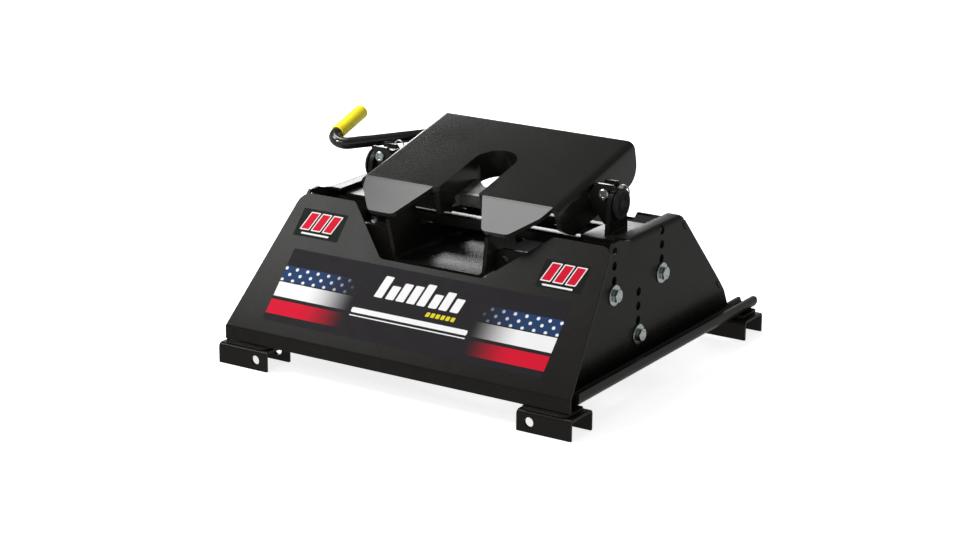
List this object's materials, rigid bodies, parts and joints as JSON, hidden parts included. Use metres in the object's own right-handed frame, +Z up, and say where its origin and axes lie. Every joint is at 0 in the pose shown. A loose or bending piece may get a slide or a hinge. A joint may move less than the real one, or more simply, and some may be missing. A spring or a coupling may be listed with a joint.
{
  "type": "fifth wheel hitch",
  "caption": "Fifth wheel hitch: black folded-steel base on rail feet, bolted centre section, tilting head with kingpin slot, sliding lock bar and swing handle.",
  "frame": {"origin": "on the surface under the four rail feet, midway between them", "axes": "+X to the right side seen from the trailer, +Y forward to the cab, +Z up; the sloping rear panel faces -Y"},
  "size_m": [0.6492, 0.6226, 0.3487],
  "materials": {
    "black_powder_coat": "semi-gloss black powder coat over folded steel",
    "head_powder_coat": "semi-gloss warm black powder coat",
    "zinc_plate": "bright zinc plate",
    "machined_steel": "bare machined steel",
    "gloss_black_rod": "gloss black enamel",
    "yellow_vinyl": "soft yellow dipped vinyl",
    "black_rubber": "moulded black rubber",
    "spring_steel": "oiled spring wire"
  },
  "bodies": {
    "base": {"end_plate_left": "black_powder_coat", "end_plate_right": "black_powder_coat", "foot_pad_front_left": "black_powder_coat", "foot_pad_front_right": "black_powder_coat", "foot_pad_rear_left": "black_powder_coat", "foot_pad_rear_right": "black_powder_coat", "frame_bolt_left_front": "zinc_plate", "frame_bolt_left_lower": "zinc_plate", "frame_bolt_left_rear": "zinc_plate", "frame_bolt_right_front": "zinc_plate", "frame_bolt_right_lower": "zinc_plate", "frame_bolt_right_rear": "zinc_plate", "frame_washer_left_front": "zinc_plate", "frame_washer_left_lower": "zinc_plate", "frame_washer_left_rear": "zinc_plate", "frame_washer_right_front": "zinc_plate", "frame_washer_right_lower": "zinc_plate", "frame_washer_right_rear": "zinc_plate", "front_cross_bar": "black_powder_coat", "front_cross_plate": "black_powder_coat", "front_panel": "black_powder_coat", "pivot_bushing_left": "black_rubber", "pivot_bushing_right": "black_rubber", "pivot_stand_left": "black_powder_coat", "pivot_stand_right": "black_powder_coat", "rail_foot_front_left": "black_powder_coat", "rail_foot_front_right": "black_powder_coat", "rail_foot_rear_left": "black_powder_coat", "rail_foot_rear_right": "black_powder_coat", "rear_cross_bar": "black_powder_coat", "rear_cross_plate_left": "black_powder_coat", "rear_cross_plate_right": "black_powder_coat", "rear_panel": "black_powder_coat", "side_frame_left": "black_powder_coat", "side_frame_right": "black_powder_coat", "throat_trough": "black_powder_coat"},
    "head": {"clevis_clip_left": "zinc_plate", "clevis_clip_right": "zinc_plate", "clevis_left": "head_powder_coat", "clevis_pin_left": "zinc_plate", "clevis_pin_right": "zinc_plate", "clevis_right": "head_powder_coat", "lever_bolt": "zinc_plate", "lock_guide_left": "head_powder_coat", "lock_guide_right": "head_powder_coat", "pin_seat": "head_powder_coat", "pivot_cap_left": "black_rubber", "pivot_cap_right": "black_rubber", "return_spring": "spring_steel", "skid_plate": "head_powder_coat", "trunnion_block_left": "head_powder_coat", "trunnion_block_right": "head_powder_coat", "trunnion_pin_left": "machined_steel", "trunnion_pin_right": "machined_steel"},
    "lock_bar": {"lock_bar": "machined_steel"},
    "handle": {"handle_lever": "gloss_black_rod", "grip": "yellow_vinyl"}
  },
  "joints": [
    {"name": "head_pitch", "type": "hinge", "parent": "base", "child": "head", "pos_m": [0, -0.01016, 0.27686], "axis": [-1, 0, 0], "range_deg": [0, 24]},
    {"name": "handle_swing", "type": "hinge", "parent": "head", "child": "handle", "pos_m": [-0.14605, 0.09902, 0.31152], "axis": [0, 0.2385, -0.9711], "range_deg": [0, 29.3], "stiffness_Nm_per_rad": 3, "springref_deg": -17.19, "deforming": ["return_spring"]},
    {"name": "lock_slide", "type": "slide", "parent": "head", "child": "lock_bar", "axis": [-1, 0, 0], "range_m": [0, 0.07747]}
  ],
  "couplings": [
    {"joint": "lock_slide", "follows": "handle_swing", "m_per_rad": 0.15118}
  ]
}
